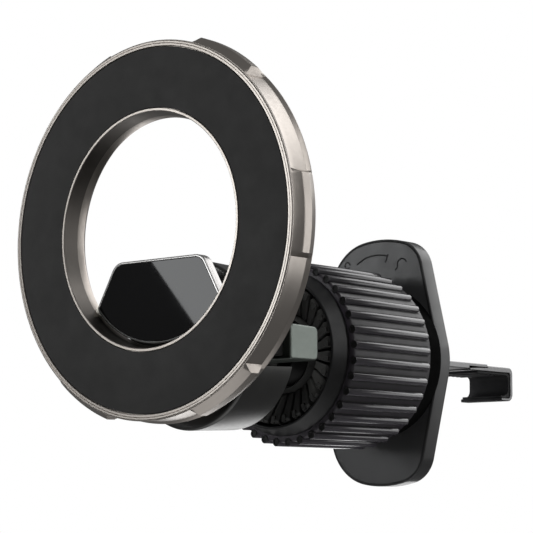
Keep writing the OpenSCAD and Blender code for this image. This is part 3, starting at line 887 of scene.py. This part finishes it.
def make_hook():
    """The bent metal strip with its darker lip, the bar that carries it, and its rubber liner."""
    low, high = STRIP_LOW, STRIP_HIGH
    bottom = low.z
    reach = high.y
    inner = reach - 0.75
    lip_top = bottom + 0.6
    lip_end = BOOT_LOW.y + 7.1
    lap_start = SHANK_HIGH.y - 5.4
    step = SHANK_HIGH.y + 0.05
    side = rounded([
        (lap_start, -0.4, 0), (inner, -0.4, 0.4), (inner, lip_top, 0.5), (lip_end, lip_top, 0.16),
        (lip_end, bottom + 0.02, 0.2), (reach, bottom, 1.4), (reach, high.z, 1.1), (step, high.z, 0.16),
        (step, 0.18, 0), (lap_start, 0.18, 0),
    ], 8)
    strip = prism(side, low.x, high.x, 0.14, 0.14, facing_right)
    jaw = build("hook_jaw", [strip], hook_metal, "hook", ["hook_strip"])
    darken_lip(jaw, lip_top + 0.1, reach - 1.0)
    shank_end = SHANK_HIGH.y
    lap_end = shank_end - 5.5
    bar = rounded([
        (SHANK_LOW.y, SHANK_LOW.z, 0), (lap_end, SHANK_LOW.z, 0.05), (lap_end, 0.2, 0),
        (shank_end, 0.2, 0.05), (shank_end, SHANK_HIGH.z, 0.15), (SHANK_LOW.y, SHANK_HIGH.z, 0),
    ], 4)
    shank = prism(bar, SHANK_LOW.x, SHANK_HIGH.x, 0.14, 0.14, facing_right)
    build("hook_bar", [shank], hook_metal, "hook", ["hook_shank"])
    make_boot(inner, lip_top)


def darken_lip(jaw, below, before):
    """Gives the jaw's lower lip the liner's rubber."""
    jaw.data.materials.append(soft_rubber)
    for face in jaw.data.polygons:
        middle = face.center / MM
        if middle.z < below and middle.y < before:
            face.material_index = 1


def make_boot(inner, lip_top):
    """The rubber liner: a sheet under the arm, down the wall and over the lip, with grip bars."""
    low, high = BOOT_LOW, BOOT_HIGH
    thick = 0.42
    under_arm = -0.42
    wall = inner - thick
    seat = inner - 0.02
    end = low.y + 7.3
    sheet = rounded([
        (low.y, under_arm, 0), (low.y, under_arm - thick, 0.15), (wall, under_arm - thick, 0.8),
        (wall, lip_top + thick, 1.3), (end, lip_top + thick - 0.05, 0.15), (end, lip_top + 0.02, 0),
        (seat, lip_top + 0.02, 0.5), (seat, under_arm, 0.4),
    ], 8)
    parts = [prism(sheet, low.x, high.x, 0.12, 0.12, facing_right)]
    bar_pitch = 1.3
    bar_width = 0.6
    bar_top = -0.8
    bar_bottom = -1.02
    for i in range(5):
        y = low.y + 0.9 + i * bar_pitch
        bar = rounded([
            (y, bar_top, 0), (y + bar_width, bar_top, 0), (y + bar_width, bar_bottom, 0.1),
            (y, bar_bottom, 0.1),
        ], 3)
        parts.append(prism(bar, low.x + 0.4, high.x - 0.4, 0.05, 0.05, facing_right))
    build("hook_liner", parts, soft_rubber, "hook", ["hook_boot"])


# ---------- CAD nodes that keep their own shape ----------

def finish_nodes():
    """Gives each CAD node that keeps its own shape a material."""
    # The housing's near-black material is painted shade behind the knob.
    looks = {
        "ring_magnets": magnet_metal, "ring_shunt": steel, "hinge_pin_left": steel, "hinge_pin_right": steel,
        "hinge_washers": pom, "hub_screws": steel, "yoke_cross_pin": steel, "ball_liner": collet_plastic,
        "ball_seat": collet_plastic, "housing": housing_shade_black, "disc_spring": steel, "preload_plug": brass,
        "retainer_ring": steel, "thrust_washer": collet_plastic, "knob_thread_sleeve": brass,
        "housing_screws": steel, "traveller": brass, "shank_pin": steel, "hook_rivets": steel,
    }
    for node, material in looks.items():
        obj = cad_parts[node]
        obj.data.materials.clear()
        obj.data.materials.append(material)


# ---------- Stage, lights and camera ----------

def add_area_light(name, size, size_y, power):
    """A rectangular light, sized in millimetres, that the camera itself doesn't see."""
    data = bpy.data.lights.new(name, "AREA")
    data.shape = "RECTANGLE"
    data.size = size * MM
    data.size_y = size_y * MM
    data.energy = power
    light = bpy.data.objects.new(name, data)
    light.visible_camera = False
    bpy.context.scene.collection.objects.link(light)
    return light


def aimed_light(name, position, target, size, power, size_y=None):
    """A soft light at a place, turned to a target."""
    light = add_area_light(name, size, size_y or size, power)
    light.location = Vector(position) * MM
    light.rotation_mode = "QUATERNION"
    light.rotation_quaternion = (Vector(target) - Vector(position)).to_track_quat("-Z", "Y")
    return light


def make_stage():
    """A pale flat floor below the object, which no glossy surface mirrors."""
    mesh = bpy.data.meshes.new("floor")
    half = 3.0
    height = FLOOR_Z * MM
    corners = [(-half, -half, height), (half, -half, height), (half, half, height), (-half, half, height)]
    mesh.from_pydata(corners, [], [(0, 1, 2, 3)])
    floor = bpy.data.objects.new("floor", mesh)
    bpy.context.scene.collection.objects.link(floor)
    floor.visible_glossy = False
    material, tree, shader = new_material("floor_paint", (0.86, 0.86, 0.86), 0.7, specular=0.2)
    tint = ramp(tree, noise(tree, 3, 2), (0.85, 0.85, 0.85), (0.88, 0.88, 0.88))
    tree.links.new(tint, shader.inputs["Base Color"])
    mesh.materials.append(material)


def make_world():
    """A studio: plain white to the camera, grey in reflections, and a dimmer grey as diffuse light."""
    world = bpy.data.worlds.new("studio")
    bpy.context.scene.world = world
    world.use_nodes = True
    tree = world.node_tree
    tree.nodes.clear()
    output = tree.nodes.new("ShaderNodeOutputWorld")
    mix = tree.nodes.new("ShaderNodeMixShader")
    path = tree.nodes.new("ShaderNodeLightPath")
    around = tree.nodes.new("ShaderNodeBackground")
    backdrop = tree.nodes.new("ShaderNodeBackground")
    backdrop.inputs["Color"].default_value = (1, 1, 1, 1)
    backdrop.inputs["Strength"].default_value = 1.0
    coordinates = tree.nodes.new("ShaderNodeTexCoord")
    split = tree.nodes.new("ShaderNodeSeparateXYZ")
    tree.links.new(coordinates.outputs["Generated"], split.inputs["Vector"])
    sky = ramp(tree, split.outputs["Z"], (0.14, 0.14, 0.14), (0.20, 0.20, 0.20), 0.0, 0.75)
    tree.links.new(sky, around.inputs["Color"])
    diffuse_loss = 0.65
    dimmer = tree.nodes.new("ShaderNodeMath")
    dimmer.operation = "MULTIPLY_ADD"
    dimmer.inputs[1].default_value = -diffuse_loss
    dimmer.inputs[2].default_value = 1.0
    tree.links.new(path.outputs["Is Diffuse Ray"], dimmer.inputs[0])
    tree.links.new(dimmer.outputs["Value"], around.inputs["Strength"])
    tree.links.new(path.outputs["Is Camera Ray"], mix.inputs["Fac"])
    tree.links.new(around.outputs["Background"], mix.inputs[1])
    tree.links.new(backdrop.outputs["Background"], mix.inputs[2])
    tree.links.new(mix.outputs["Shader"], output.inputs["Surface"])


def from_rear(azimuth, elevation, distance):
    """A place round the object's middle: azimuth 0 is straight behind it, positive to the right."""
    turn = math.radians(azimuth)
    rise = math.radians(elevation)
    flat = math.cos(rise) * distance
    return (math.sin(turn) * flat, MIDDLE_Y + math.cos(turn) * flat, math.sin(rise) * distance)


def make_lights():
    """Lights behind and beside the object for its metal's reflections, and two in front for its faces."""
    aim = (0, MIDDLE_Y, 0)
    aimed_light("rear_right", from_rear(42, 2, 420), aim, 230, 0.26)
    aimed_light("rear_top", from_rear(18, 35, 380), aim, 270, 0.55)
    aimed_light("rear_low_left", from_rear(-36, -26, 170), aim, 70, 0.03)
    aimed_light("under", (0, -60, -104), (5, -50, 0), 120, 0.03)
    flange = aimed_light("right_side", from_rear(90, 26, 400), aim, 150, 0.38, size_y=400)
    flange.visible_diffuse = False
    key = aimed_light("key_above", (-120, -170, 300), aim, 110, 1.1)
    key.visible_glossy = False
    fill = aimed_light("front_left", (-260, -400, 10), aim, 100, 0.36)
    fill.visible_glossy = False
    make_glass_card(0.3)


def make_glass_card(power):
    """A soft card whose near edge is mirrored by the black glass as a slanted line across it."""
    line_high = Vector((0.5, PANEL_FRONT, 12.32))
    line_low = Vector((7.36, PANEL_FRONT, 1.67))
    panel_middle = Vector((0, PANEL_FRONT, 6))
    size = 150
    share = 2.2
    camera = Vector(CAMERA_AT)
    behind = Vector((camera.x, 2 * PANEL_FRONT - camera.y, camera.z))
    high = behind + (line_high - behind) * share
    low = behind + (line_low - behind) * share
    along = (high - low).normalized()
    middle = (high + low) / 2
    facing = (middle - panel_middle).normalized()
    across = along.cross(facing).normalized()
    card = add_area_light("glass_card", size, size, power)
    card.data.color = (0.97, 0.99, 1.0)
    card.matrix_world = Matrix((across, -along, facing)).transposed().to_4x4()
    card.location = (middle + across * size / 2) * MM


def make_camera():
    """Where the object is seen from: right of the front and a little below the knob's axis."""
    azimuth = math.radians(CAMERA_AZIMUTH)
    elevation = math.radians(CAMERA_ELEVATION)
    flat = math.cos(elevation)
    back = Vector((math.sin(azimuth) * flat, -math.cos(azimuth) * flat, math.sin(elevation)))
    right = Vector((math.cos(azimuth), math.sin(azimuth), 0))
    up = back.cross(right)
    data = bpy.data.cameras.new("camera")
    data.sensor_width = 36
    data.sensor_fit = "HORIZONTAL"
    data.lens = data.sensor_width / 2 / math.tan(math.radians(FIELD_OF_VIEW / 2))
    data.clip_start = 0.01
    camera = bpy.data.objects.new("camera", data)
    camera.matrix_world = Matrix((right, up, back)).transposed().to_4x4()
    camera.location = Vector(CAMERA_AT) * MM
    bpy.context.scene.collection.objects.link(camera)
    bpy.context.scene.camera = camera


make_camera()
make_ring()
make_panel()
make_hub()
make_yoke()
make_ball()
make_collet()
make_knob()
make_base()
make_hook()
finish_nodes()
make_stage()
make_world()
make_lights()
bpy.context.scene.view_settings.view_transform = "Standard"

bpy.context.view_layer.update()
